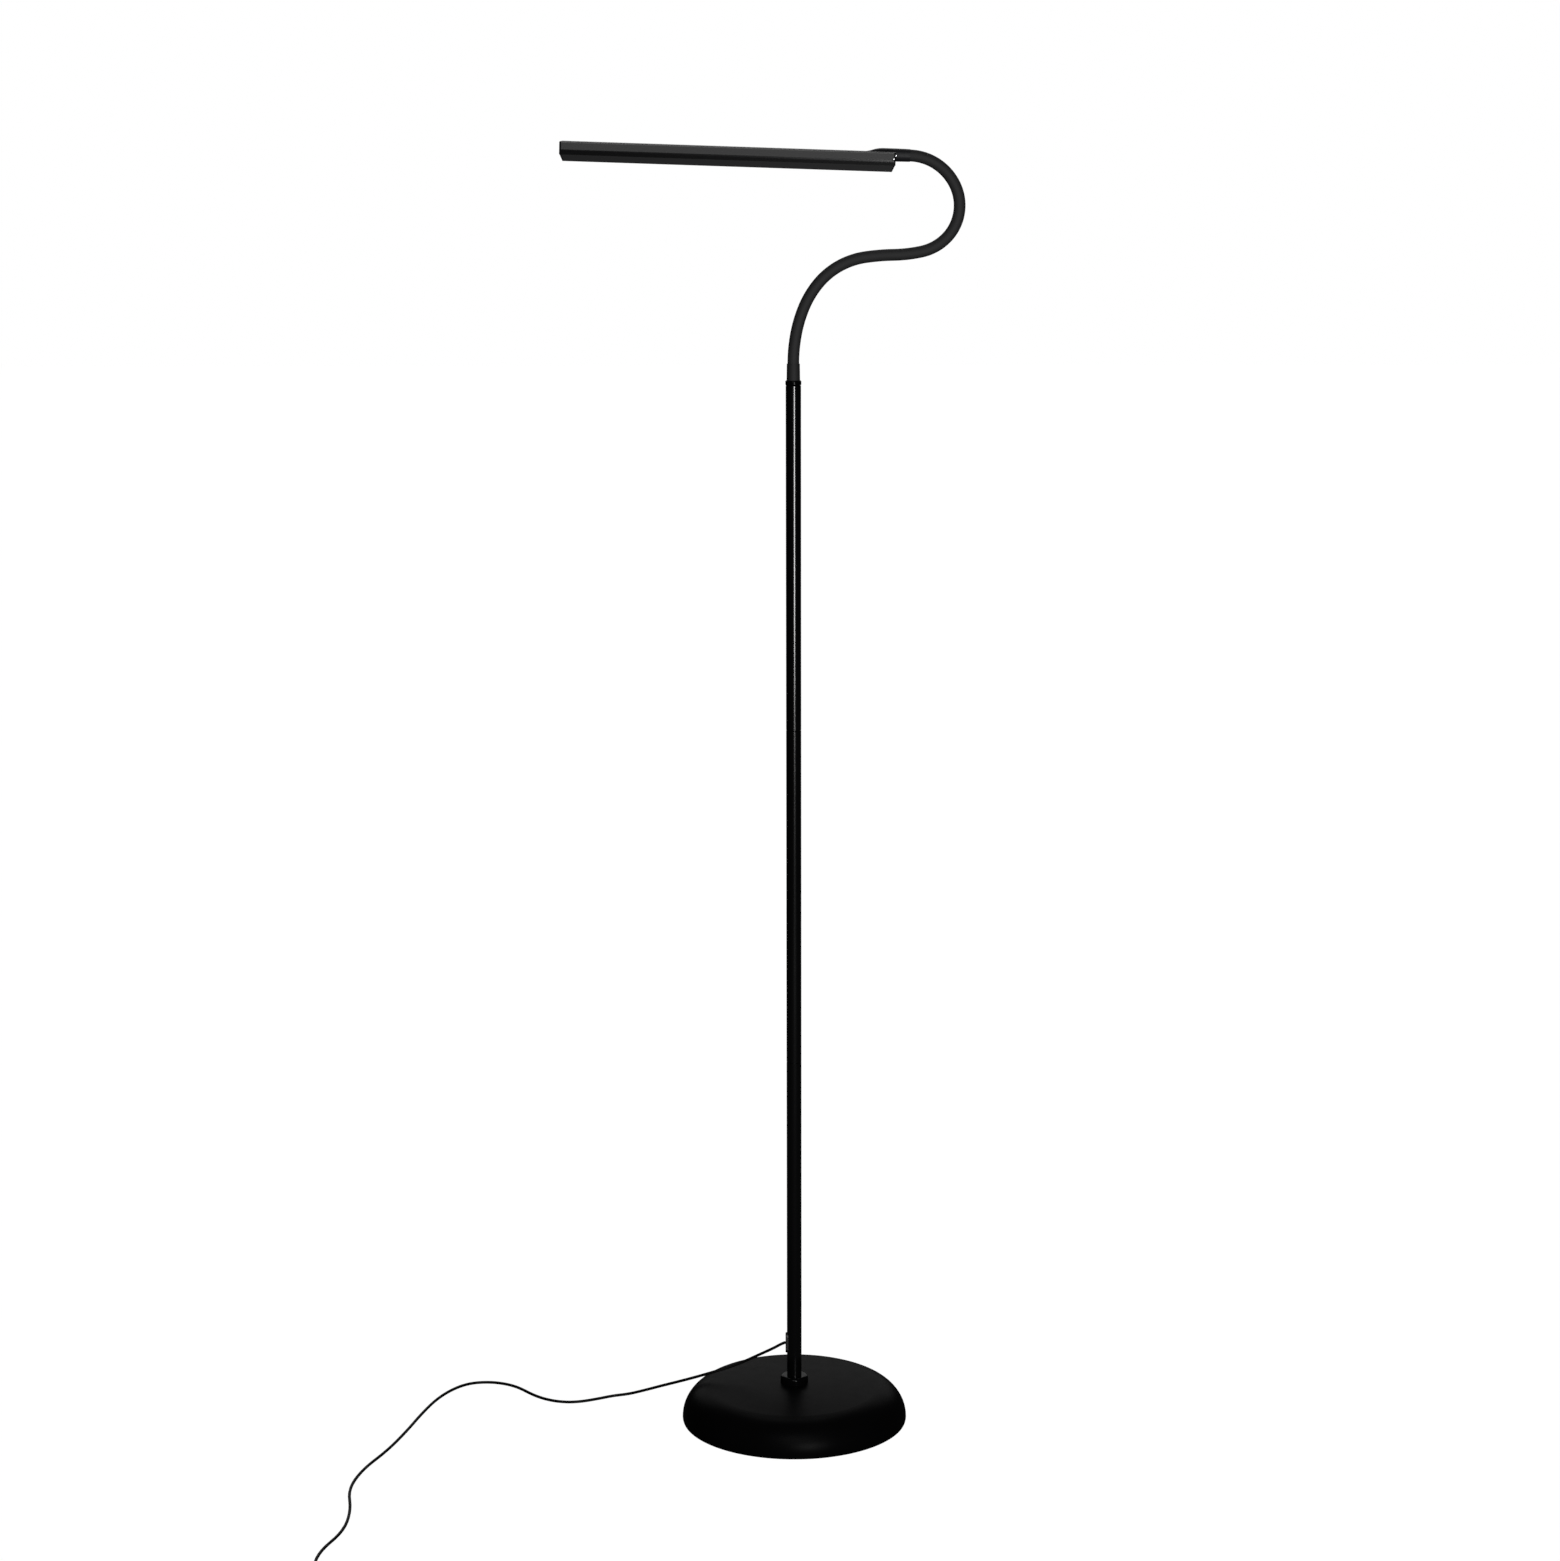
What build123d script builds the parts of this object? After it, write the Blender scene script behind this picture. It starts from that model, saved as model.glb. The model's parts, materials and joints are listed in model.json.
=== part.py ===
from build123d import *
import os
from math import asin, atan2, cos, degrees, radians, sin, sqrt, tan

# Gooseneck reading floor lamp: a weighted round base, a pole of three screwed sections, a flexible
# neck in a soft sleeve, and a slim bar head with a strip of LEDs. Millimetres, +Z up, origin on the
# floor under the pole. The head points to -X, the neck bends in the XZ plane, -Y is the front.

# ---- driving dimensions -------------------------------------------------------------------------
# Base
base_radius = 115.5
base_height = 40.0            # top of the crown above the floor
crown_radius = 920.0          # the nearly flat top
shoulder_radius = 32.5
tuck_radius = 6.0             # the wall's turn back under the widest line
cover_wall = 1.5
rim_height = 1.3
pad_thickness = 1.5
pad_inset = 8.0
plate_thickness = 1.5
weight_radius = 95.0
weight_thickness = 16.0
weight_boss_radius = 15.0
plate_screw_circle = 76.0
plate_screw_count = 4
plate_screw_radius = 2.0
plate_screw_length = 9.0

# Foot fixing
stud_radius = 5.0
stud_bore = 3.0
nut_across_flats = 17.0
nut_height = 7.0
washer_radius = 10.0
washer_thickness = 1.5
collar_radius = 14.3
collar_height = 7.5
collar_round = 3.2

# Pole
pole_radius = 7.5
pole_wall = 1.0
section_length = 342.0
section_count = 3
tube_chamfer = 0.4
insert_length = 22.0
coupler_length = 50.0
ring_radius = 7.8
ring_height = 5.0
ring_spigot = 18.0

# Neck
neck_radius = 5.7
sleeve_wall = 1.6
link_radius = 3.8
link_bore = 2.1
link_gap = 0.35               # between a ball and the next link's end
neck_pitch = 27.3             # length of each of the neck's sections, along its centreline
neck_turns = (-10, -12, -17, -22, -21, -7, 11, 33, 36, 35, 31, 31)  # each section's bend, left is plus
cuff_height = 16.0
cuff_foot_radius = 6.6
cuff_top_radius = 6.35
cuff_web = 4.0
cuff_stud_radius = 4.0
cuff_stud_length = 14.0

# Head
head_length = 323.0
head_width = 36.0
casing_height = 12.5
casing_top = 2.7              # the casing's top above the neck's axis
casing_wall = 1.6             # of its top
casing_side = 2.2             # of its sides and ends
casing_lean_height = 4.0      # the lower part of its long sides leans in
casing_lean = 1.1
crease_radius = 8.0           # of the soft crease above the leaning part
casing_top_round = 1.0
casing_corner = 1.8
frame_inset = 1.4             # of the lower frame's sides under the casing's
frame_end_inset = 0.4
frame_height = 6.2
frame_draft = 18.0            # the lower frame's sides lean in by this angle, in degrees
frame_end_draft = 24.0        # and its ends by this one
frame_floor = 1.6
frame_land = 9.5              # the solid ends of the lower frame
frame_round = 0.6
diffuser_width = 27.0
diffuser_flange = 1.2
window_width = 24.0
window_recess = 0.3
socket_reach = 14.3           # from the socket's mouth to the casing's end
socket_radius = 6.25
socket_mouth_radius = 6.05
socket_straight = 11.5        # full-size length inside the casing
socket_nose = 21.0            # length of the tapered nose
socket_seat = 9.0             # depth of the sleeve in the socket
clamp_in = 12.6               # of the clamp's screws from the casing's end
clamp_side = 11.0             # of the clamp's screws from the middle line
clamp_length = 7.0
clamp_width = 27.0
clamp_thickness = 4.4
screw_in = 6.3                # of the frame's screws from the casing's ends
screw_side = 11.6             # of the frame's screws from the middle line
screw_radius = 1.25
screw_head_radius = 2.2
frame_screw_length = 11.0
clamp_screw_length = 8.5
boss_radius = 2.4
rib_thickness = 1.4
rib_spacing = 17.0
rib_depth = 4.3
spreader_width = 24.0
spreader_thickness = 2.0
board_width = 12.0
board_thickness = 1.2
led_count = 24
led_spacing = 10.5
led_length = 3.5
led_width = 2.8
led_height = 0.8
control_length = 46.0
control_width = 14.0
control_thickness = 1.0
terminal_length = 7.0
wire_radius = 0.65
wire_spacing = 1.5
touch_radius = 4.5
touch_recess = 0.1
touch_place = 72.0            # from the socket's mouth

# Cord: a round low-voltage lead
cord_radius = 1.5
grommet_height = 82.4         # of the cord's exit above the floor
grommet_length = 21.5
grommet_width = 9.0
grommet_plug_length = 15.0
grommet_plug_width = 5.4
grommet_proud = 1.5
grommet_lip = 0.6
coil_pitch = 3.5              # from turn to turn across the coil
coil_rise = 3.45              # from layer to layer
coil_inner_radius = 9.9
coil_quarters = 15            # quarter turns of each layer, besides the half turn between them
coil_tail = 30.0
cord_rest = 1.5               # height of the cord's middle where it lies on the floor
plug_length = 28.0
plug_width = 16.0
plug_thickness = 9.9
plug_relief_length = 11.0
plug_relief_radius = 2.4
shell_width = 12.0
shell_thickness = 4.5
shell_length = 14.5
shell_wall = 0.35
tongue_thickness = 1.9

# Clearances
fit = 0.05                    # pressed and screwed fits, per side
seat = 0.15                   # parts that are dropped into each other, per side
loose = 0.6                   # around cables and screws

os.makedirs("parts", exist_ok=True)


def finish(name, piece):
    """Labels a finished piece and writes its file."""
    piece.part.label = name
    export_step(piece.part, f"parts/{name}.step")


# ---- base ---------------------------------------------------------------------------------------
wall_height = base_height - crown_radius + sqrt(
    (crown_radius - shoulder_radius) ** 2 - (base_radius - shoulder_radius) ** 2
)                             # of the widest line above the floor
shoulder_angle = degrees(
    atan2(wall_height + crown_radius - base_height, base_radius - shoulder_radius)
)
tuck_angle = degrees(asin((wall_height - rim_height) / tuck_radius))
rim_radius = base_radius - tuck_radius * (1 - cos(radians(tuck_angle)))
plate_bottom = pad_thickness
plate_top = plate_bottom + plate_thickness
weight_top = plate_top + weight_thickness
boss_top = base_height - cover_wall - seat
nut_bore_radius = washer_radius + loose
washer_top = plate_top + nut_height + washer_thickness + 1.0
foot_height = base_height     # the pole stands on the crown of the base
stud_bottom = plate_top + 1.0
stud_top = foot_height + insert_length - 2.0


def dome(inset, low):
    """The base's half section, drawn in by inset all round, down to the height low."""
    with BuildSketch(Plane.XZ) as section:
        with BuildLine():
            crown = CenterArc(
                (0, base_height - crown_radius), crown_radius - inset, shoulder_angle, 90 - shoulder_angle
            )
            shoulder = CenterArc(
                (base_radius - shoulder_radius, wall_height), shoulder_radius - inset, 0, shoulder_angle
            )
            tuck = CenterArc(
                (base_radius - tuck_radius, wall_height), tuck_radius - inset, -tuck_angle, tuck_angle
            )
            corner = tuck @ 0
            Polyline((0, low), (corner.X, low), corner) if corner.Y > low else Line((0, low), corner)
            Line((0, low), crown @ 1)
        make_face()
    return section.sketch


def make_base():
    with BuildPart() as base_cover:
        add(dome(0, rim_height))
        revolve(axis=Axis.Z)
        add(dome(cover_wall, rim_height - 1.0))
        revolve(axis=Axis.Z, mode=Mode.SUBTRACT)
        with BuildSketch(Plane.XY.offset(boss_top - 1)):
            Circle(stud_radius + fit)
        extrude(amount=base_height, mode=Mode.SUBTRACT)
    finish("base_cover", base_cover)

    with BuildPart() as base_pad:
        with BuildSketch(Plane.XY):
            Circle(rim_radius - pad_inset)
        extrude(amount=pad_thickness)
    finish("base_pad", base_pad)

    screw_places = PolarLocations(plate_screw_circle, plate_screw_count, start_angle=45)
    with BuildPart() as base_plate:
        with BuildSketch(Plane.XY.offset(plate_bottom)):
            Circle(rim_radius - cover_wall - 2 * seat)
        extrude(amount=plate_thickness)
        with Locations(Plane.XY.offset(plate_bottom).rotated((180, 0, 0))):
            with screw_places:
                CounterSinkHole(
                    plate_screw_radius + seat, plate_screw_radius + plate_thickness, counter_sink_angle=90
                )
    finish("base_plate", base_plate)

    with BuildPart() as base_weight:
        with BuildSketch(Plane.XZ):
            with BuildLine():
                Polyline(
                    (stud_radius + loose, washer_top),
                    (stud_radius + loose, boss_top),
                    (weight_boss_radius, boss_top),
                    (weight_boss_radius + 8, weight_top),
                    (weight_radius - 3, weight_top),
                    (weight_radius, weight_top - 6),
                    (weight_radius, plate_top),
                    (nut_bore_radius, plate_top),
                    (nut_bore_radius, washer_top),
                    close=True,
                )
            make_face()
        revolve(axis=Axis.Z)
        with BuildSketch(Plane.XY.offset(plate_top)):
            with screw_places:
                Circle(plate_screw_radius + fit)
        extrude(amount=plate_screw_length, mode=Mode.SUBTRACT)
    finish("base_weight", base_weight)

    with BuildPart() as plate_screws:
        with BuildSketch(Plane.XZ):
            with BuildLine():
                head = plate_screw_radius + plate_thickness - seat
                Polyline(
                    (0, plate_bottom),
                    (head, plate_bottom),
                    (plate_screw_radius, plate_bottom + head - plate_screw_radius),
                    (plate_screw_radius, plate_bottom + plate_screw_length),
                    (0, plate_bottom + plate_screw_length),
                    close=True,
                )
            make_face()
        revolve(axis=Axis.Z)
    with BuildPart() as screw_group:
        with screw_places:
            add(plate_screws.part)
    finish("plate_screws", screw_group)


def make_foot():
    with BuildPart() as foot_stud:
        with BuildSketch(Plane.XY.offset(stud_bottom)):
            Circle(stud_radius)
            Circle(stud_bore, mode=Mode.SUBTRACT)
        extrude(amount=stud_top - stud_bottom)
        chamfer(foot_stud.edges().filter_by(GeomType.CIRCLE).group_by(SortBy.RADIUS)[-1], 0.6)
    finish("foot_stud", foot_stud)

    with BuildPart() as foot_washer:
        with BuildSketch(Plane.XY.offset(washer_top - washer_thickness)):
            Circle(washer_radius)
            Circle(stud_radius + seat, mode=Mode.SUBTRACT)
        extrude(amount=washer_thickness)
    finish("foot_washer", foot_washer)

    with BuildPart() as foot_nut:
        with BuildSketch(Plane.XY.offset(washer_top - washer_thickness - nut_height)):
            RegularPolygon(nut_across_flats / 2, 6, major_radius=False)
            Circle(stud_radius + fit, mode=Mode.SUBTRACT)
        extrude(amount=nut_height)
    finish("foot_nut", foot_nut)

    with BuildPart() as pole_collar:
        with BuildSketch(Plane.XY.offset(foot_height)):
            Circle(collar_radius)
            Circle(pole_radius + fit, mode=Mode.SUBTRACT)
        extrude(amount=collar_height)
        outer = pole_collar.edges().filter_by(GeomType.CIRCLE).group_by(SortBy.RADIUS)[-1]
        fillet(outer.sort_by(Axis.Z)[-1], collar_round)
    finish("pole_collar", pole_collar)

    with BuildPart() as foot_insert:
        with BuildSketch(Plane.XY.offset(foot_height)):
            Circle(pole_radius - pole_wall - fit)
            Circle(stud_radius + fit, mode=Mode.SUBTRACT)
        extrude(amount=insert_length)
    finish("foot_insert", foot_insert)


# ---- pole ---------------------------------------------------------------------------------------
pole_top = foot_height + section_count * section_length
ring_top = pole_top + ring_height
neck_start = ring_top + cuff_height
section_names = ("pole_bottom", "pole_middle", "pole_top")
tube_bore = pole_radius - pole_wall
lead_space = cord_radius + loose


def grommet_slot(length, width, near, far):
    """An upright slot-shaped block on the pole's left side, from x = -near out to x = -far."""
    with BuildPart(mode=Mode.PRIVATE) as block:
        with BuildSketch(Plane((-near, 0, grommet_height), x_dir=(0, 0, 1), z_dir=(-1, 0, 0))):
            SlotOverall(length, width)
        extrude(amount=far - near)
    return block.part


def make_pole():
    for number, name in enumerate(section_names):
        with BuildPart() as tube:
            with BuildSketch(Plane.XY.offset(foot_height + number * section_length)):
                Circle(pole_radius)
                Circle(tube_bore, mode=Mode.SUBTRACT)
            extrude(amount=section_length)
            chamfer(tube.edges().filter_by(GeomType.CIRCLE).group_by(SortBy.RADIUS)[-1], tube_chamfer)
            if number == 0:
                add(
                    grommet_slot(grommet_plug_length + 2 * fit, grommet_plug_width + 2 * fit, 0, 2 * pole_radius),
                    mode=Mode.SUBTRACT,
                )
        finish(name, tube)

    for number, name in enumerate(("coupler_lower", "coupler_upper")):
        joint = foot_height + (number + 1) * section_length
        with BuildPart() as coupler:
            with BuildSketch(Plane.XY.offset(joint - coupler_length / 2)):
                Circle(tube_bore - fit)
                Circle(stud_bore, mode=Mode.SUBTRACT)
            extrude(amount=coupler_length)
            chamfer(coupler.edges().filter_by(GeomType.CIRCLE).group_by(SortBy.RADIUS)[-1], 0.8)
        finish(name, coupler)

    with BuildPart() as pole_ring:
        with BuildSketch(Plane.XY.offset(pole_top)):
            Circle(ring_radius)
        extrude(amount=ring_height)
        rounds = pole_ring.edges().filter_by(GeomType.CIRCLE)
        fillet(rounds, 1.3)
        with BuildSketch(Plane.XY.offset(pole_top - ring_spigot)):
            Circle(tube_bore - fit)
        extrude(amount=ring_spigot + ring_height / 2)
        with BuildSketch(Plane.XY.offset(pole_top - ring_spigot)):
            Circle(cuff_stud_radius + fit)
        extrude(amount=ring_spigot + ring_height, mode=Mode.SUBTRACT)
    finish("pole_ring", pole_ring)

    with BuildPart() as neck_cuff:
        with BuildSketch(Plane.XZ):
            with BuildLine():
                Polyline(
                    (lead_space, ring_top - cuff_stud_length),
                    (cuff_stud_radius, ring_top - cuff_stud_length),
                    (cuff_stud_radius, ring_top),
                    (cuff_foot_radius, ring_top),
                    (cuff_top_radius, neck_start),
                    (neck_radius + fit, neck_start),
                    (neck_radius + fit, ring_top + cuff_web),
                    (lead_space, ring_top + cuff_web),
                    close=True,
                )
            make_face()
        revolve(axis=Axis.Z)
    finish("neck_cuff", neck_cuff)


# ---- gooseneck ----------------------------------------------------------------------------------
# The neck's centreline is a chain of equal lengths, each bent by its own angle. A section's hinge
# is half way along it. A link runs from hinge to hinge, with a ball at its far end.
class Place:
    """A point on the neck's centreline in the XZ plane, and the heading there in degrees."""

    def __init__(self, x, z, heading):
        self.x, self.z, self.heading = x, z, heading

    def along(self, length, turn):
        """The place reached after an arc of that length which turns by that many degrees."""
        middle = radians(self.heading + turn / 2)
        chord = length * sin(radians(turn / 2)) / radians(turn / 2) if turn else length
        return Place(self.x + chord * cos(middle), self.z + chord * sin(middle), self.heading + turn)

    @property
    def point(self):
        return Vector(self.x, 0, self.z)

    @property
    def ahead(self):
        return Vector(cos(radians(self.heading)), 0, sin(radians(self.heading)))


def neck_places():
    """The start of each section, the end of the last one, and each section's hinge."""
    starts, hinges = [Place(0, neck_start, 90)], []
    for turn in neck_turns:
        hinges.append(starts[-1].along(neck_pitch / 2, turn / 2))
        starts.append(starts[-1].along(neck_pitch, turn))
    return starts, hinges


neck_starts, neck_hinges = neck_places()
neck_end = neck_starts[-1]
cuff_floor = Vector(0, 0, ring_top + cuff_web)
socket_floor = neck_end.point + neck_end.ahead * socket_seat


def arc_step(place, length, turn):
    """One arc of the neck's centreline, as an edge."""
    end = place.along(length, turn)
    TangentArc(place.point, end.point, tangent=place.ahead)


def sweep_round(route, radius, bore=0.0, mode=Mode.ADD):
    """Sweeps a round bar, or a tube if it has a bore, along a route in the current part."""
    with BuildSketch(Plane(route.line @ 0, z_dir=route.line % 0)) as section:
        Circle(radius)
        if bore:
            Circle(bore, mode=Mode.SUBTRACT)
    sweep(section.sketch, path=route.line, mode=mode)


def neck_route(first, last):
    """The neck's whole centreline, from the point first in the cuff to the point last in the socket."""
    with BuildLine() as route:
        Line(first, neck_starts[0].point)
        for place, turn in zip(neck_starts, neck_turns):
            arc_step(place, neck_pitch, turn)
        Line(neck_end.point, last)
    return route


def make_neck():
    with BuildPart() as neck_sleeve:
        low = cuff_floor + Vector(0, 0, seat)
        high = socket_floor - neck_end.ahead * seat
        sweep_round(neck_route(low, high), neck_radius, neck_radius - sleeve_wall)
    finish("neck_sleeve", neck_sleeve)

    with BuildPart() as neck_lead:
        sweep_round(neck_route(cuff_floor, socket_floor), cord_radius)
    finish("neck_lead", neck_lead)

    half = neck_pitch / 2
    clear = link_radius + link_gap
    for number in range(len(neck_turns) + 1):
        with BuildPart() as link:
            with BuildLine() as route:
                if number == 0:
                    Line(cuff_floor, neck_starts[0].point)
                else:
                    turn = neck_turns[number - 1] / 2
                    gap_turn = turn * clear / half
                    start = neck_hinges[number - 1].along(clear, gap_turn)
                    arc_step(start, half - clear, turn - gap_turn)
                if number < len(neck_turns):
                    arc_step(neck_starts[number], half, neck_turns[number] / 2)
                else:
                    Line(neck_end.point, socket_floor)
            sweep_round(route, link_radius)
            if number < len(neck_turns):
                with Locations(neck_hinges[number].point):
                    Sphere(link_radius)
            sweep_round(route, link_bore, mode=Mode.SUBTRACT)
            if number < len(neck_turns):
                ball = neck_hinges[number]
                with BuildSketch(Plane(ball.point, z_dir=ball.ahead)):
                    Circle(link_bore)
                extrude(amount=2 * link_radius, mode=Mode.SUBTRACT)
        finish(f"neck_link_{number:02d}", link)


# ---- head ---------------------------------------------------------------------------------------
# The head's own frame: its origin is the socket's mouth, x runs along the bar away from the neck,
# y comes to the front and z is up, square to the bar.
head_plane = Plane(
    neck_end.point,
    x_dir=neck_end.ahead,
    z_dir=Vector(neck_end.ahead.Z, 0, -neck_end.ahead.X),
)
head_x = Axis(head_plane.origin, head_plane.x_dir)
head_z = Axis(head_plane.origin, head_plane.z_dir)
casing_start = socket_reach
casing_end = casing_start + head_length
casing_middle = casing_start + head_length / 2
casing_low = casing_top - casing_height
ceiling = casing_top - casing_wall
lean_top = casing_low + casing_lean_height
frame_low = casing_low - frame_height
frame_floor_top = frame_low + frame_floor
cavity_length = head_length - 2 * frame_land
socket_full_end = socket_reach + socket_straight
socket_end = socket_full_end + socket_nose
clamp_low = casing_low + 2 * seat
clamp_top = clamp_low + clamp_thickness
strip_start = socket_end + 8.0
strip_end = casing_end - casing_side - 8.0
strip_middle = (strip_start + strip_end) / 2
strip_length = strip_end - strip_start
rib_low = ceiling - rib_depth
spreader_low = rib_low - spreader_thickness
board_low = spreader_low - board_thickness
control_start = strip_start + 2.0
control_top = rib_low + control_thickness
frame_spots = [
    (place, side * screw_side)
    for place in (casing_start + screw_in, casing_end - screw_in)
    for side in (-1, 1)
]
clamp_spots = [(casing_start + clamp_in, side * clamp_side) for side in (-1, 1)]


def head_at(x, y, z):
    """A plane parallel to the bar's top, with its origin at that place of the head's frame."""
    return Plane(head_plane.from_local_coords((x, y, z)), x_dir=head_plane.x_dir, z_dir=head_plane.z_dir)


def head_across(x):
    """A plane square to the bar at x, facing along the bar."""
    return Plane(head_plane.from_local_coords((x, 0, 0)), x_dir=head_plane.y_dir, z_dir=head_plane.x_dir)


def block(x, y, low, length, width, height, mode=Mode.ADD):
    """A block centred on x and y that stands on the height low, in the current part."""
    with BuildSketch(head_at(x, y, low)) as outline:
        Rectangle(length, width)
    extrude(outline.sketch, amount=height, mode=mode)


def post(x, y, low, radius, height, mode=Mode.ADD):
    """A round post at x and y that stands on the height low, in the current part."""
    with BuildSketch(head_at(x, y, low)) as outline:
        Circle(radius)
    extrude(outline.sketch, amount=height, mode=mode)


def bar_outline(low, inset, end_inset):
    """The bar's outline with rounded corners at the height low, its sides and ends drawn in."""
    with BuildSketch(head_at(casing_middle, 0, low)) as outline:
        RectangleRounded(head_length - 2 * end_inset, head_width - 2 * inset, casing_corner)
    return outline.sketch


def casing_section():
    """The bar's outline from side to side: upright, a soft crease, and a lower part that leans in."""
    half = head_width / 2
    with BuildSketch(head_across(casing_start)) as section:
        with BuildLine():
            Polyline(
                (half, casing_top),
                (half, lean_top),
                (half - casing_lean, casing_low),
                (casing_lean - half, casing_low),
                (-half, lean_top),
                (-half, casing_top),
                close=True,
            )
        make_face()
        fillet(section.vertices().group_by(Axis.Y)[1], crease_radius)
    return section.sketch


def socket_profile(extra):
    """The socket's half section about the neck's axis, grown by extra."""
    mouth = socket_mouth_radius + extra
    full = socket_radius + extra
    tip = casing_top + extra
    nose_middle = (socket_full_end + socket_nose / 2, (full + tip) / 2)
    with BuildSketch(Plane(head_plane.origin, x_dir=head_plane.x_dir, z_dir=-head_plane.y_dir)) as section:
        with BuildLine():
            Polyline((0, 0), (0, mouth), (socket_reach - 1, full), (socket_full_end, full))
            swell = TangentArc((socket_full_end, full), nose_middle, tangent=(1, 0))
            TangentArc(nose_middle, (socket_end, tip), tangent=swell % 1)
            Polyline((socket_end, tip), (socket_end, 0), (0, 0))
        make_face()
    return section.sketch


def countersunk(spots, low, length):
    """A group of countersunk screws with their heads at the height low, pointing up."""
    with BuildPart() as group:
        for x, y in spots:
            with BuildSketch(head_at(x, y, low)):
                Circle(screw_head_radius)
            with BuildSketch(head_at(x, y, low + screw_head_radius - screw_radius)):
                Circle(screw_radius)
            loft()
            post(x, y, low, screw_radius, length)
    return group


def countersinks(spots, low, depth):
    """Cuts clear holes with countersinks for a group of screws in the current part."""
    for x, y in spots:
        post(x, y, low, screw_radius + seat, depth, mode=Mode.SUBTRACT)
    grown = countersunk(spots, low, screw_head_radius)
    add(grown.part, mode=Mode.SUBTRACT)


def make_socket():
    with BuildPart() as head_socket:
        revolve(socket_profile(0), axis=head_x)
        with BuildSketch(head_across(0)):
            Circle(neck_radius + 2 * seat)
        extrude(amount=socket_seat, mode=Mode.SUBTRACT)
        with BuildSketch(head_across(0)):
            Circle(cord_radius + 2 * seat)
        extrude(amount=socket_end, mode=Mode.SUBTRACT)
    finish("head_socket", head_socket)

    with BuildPart() as socket_clamp:
        block(casing_start + clamp_in, 0, clamp_low, clamp_length, clamp_width, clamp_thickness)
        revolve(socket_profile(fit), axis=head_x, mode=Mode.SUBTRACT)
        countersinks(clamp_spots, clamp_low, clamp_thickness)
    finish("socket_clamp", socket_clamp)
    finish("clamp_screws", countersunk(clamp_spots, clamp_low, clamp_screw_length))

    with BuildPart() as head_lead:
        with BuildSketch(head_across(socket_seat)):
            with GridLocations(wire_spacing, 0, 2, 1):
                Circle(wire_radius)
        extrude(amount=control_start + 1.0 - socket_seat)
    finish("head_lead", head_lead)


def make_casing():
    with BuildPart() as head_casing:
        extrude(casing_section(), amount=head_length)
        extrude(bar_outline(casing_low, 0, 0), amount=casing_height, mode=Mode.INTERSECT)
        fillet(head_casing.faces().sort_by(head_z)[-1].edges(), casing_top_round)
        block(
            casing_middle,
            0,
            casing_low,
            head_length - 2 * casing_side,
            head_width - 2 * casing_side,
            ceiling - casing_low,
            mode=Mode.SUBTRACT,
        )
        for side in (-1, 1):
            block(strip_middle, side * rib_spacing / 2, rib_low, strip_length, rib_thickness, rib_depth)
        for x, y in frame_spots:
            post(x, y, casing_low, boss_radius, ceiling - casing_low)
        for x, y in clamp_spots:
            post(x, y, clamp_top, boss_radius, ceiling - clamp_top)
        for x, y in frame_spots + clamp_spots:
            post(x, y, casing_low, screw_radius + fit, ceiling - casing_low - 0.8, mode=Mode.SUBTRACT)
        revolve(socket_profile(seat), axis=head_x, mode=Mode.SUBTRACT)
        post(touch_place, 0, ceiling - 1, touch_radius + seat, casing_height, mode=Mode.SUBTRACT)
    finish("head_casing", head_casing)

    with BuildPart() as touch_pad:
        post(touch_place, 0, ceiling, touch_radius, casing_wall - touch_recess)
        fillet(touch_pad.faces().sort_by(head_z)[-1].edges(), 0.3)
    finish("touch_pad", touch_pad)


def make_frame():
    with BuildPart() as head_frame:
        draft = frame_height * tan(radians(frame_draft))
        end_draft = frame_height * tan(radians(frame_end_draft))
        loft(
            [
                bar_outline(frame_low, frame_inset + draft, frame_end_inset + end_draft),
                bar_outline(casing_low, frame_inset, frame_end_inset),
            ]
        )
        fillet(head_frame.faces().sort_by(head_z)[0].edges(), frame_round)
        block(
            casing_middle,
            0,
            frame_floor_top,
            cavity_length,
            diffuser_width + 2 * seat,
            frame_height,
            mode=Mode.SUBTRACT,
        )
        block(
            casing_middle,
            0,
            frame_low,
            cavity_length - diffuser_width + window_width,
            window_width,
            frame_height,
            mode=Mode.SUBTRACT,
        )
        countersinks(frame_spots, frame_low, frame_height)
    finish("head_frame", head_frame)
    finish("frame_screws", countersunk(frame_spots, frame_low, frame_screw_length))

    with BuildPart() as head_diffuser:
        block(
            casing_middle, 0, frame_floor_top, cavity_length - 2 * seat, diffuser_width, diffuser_flange
        )
        block(
            casing_middle,
            0,
            frame_low + window_recess,
            cavity_length - diffuser_width + window_width - 2 * seat,
            window_width - 2 * seat,
            frame_floor,
        )
    finish("head_diffuser", head_diffuser)


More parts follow.
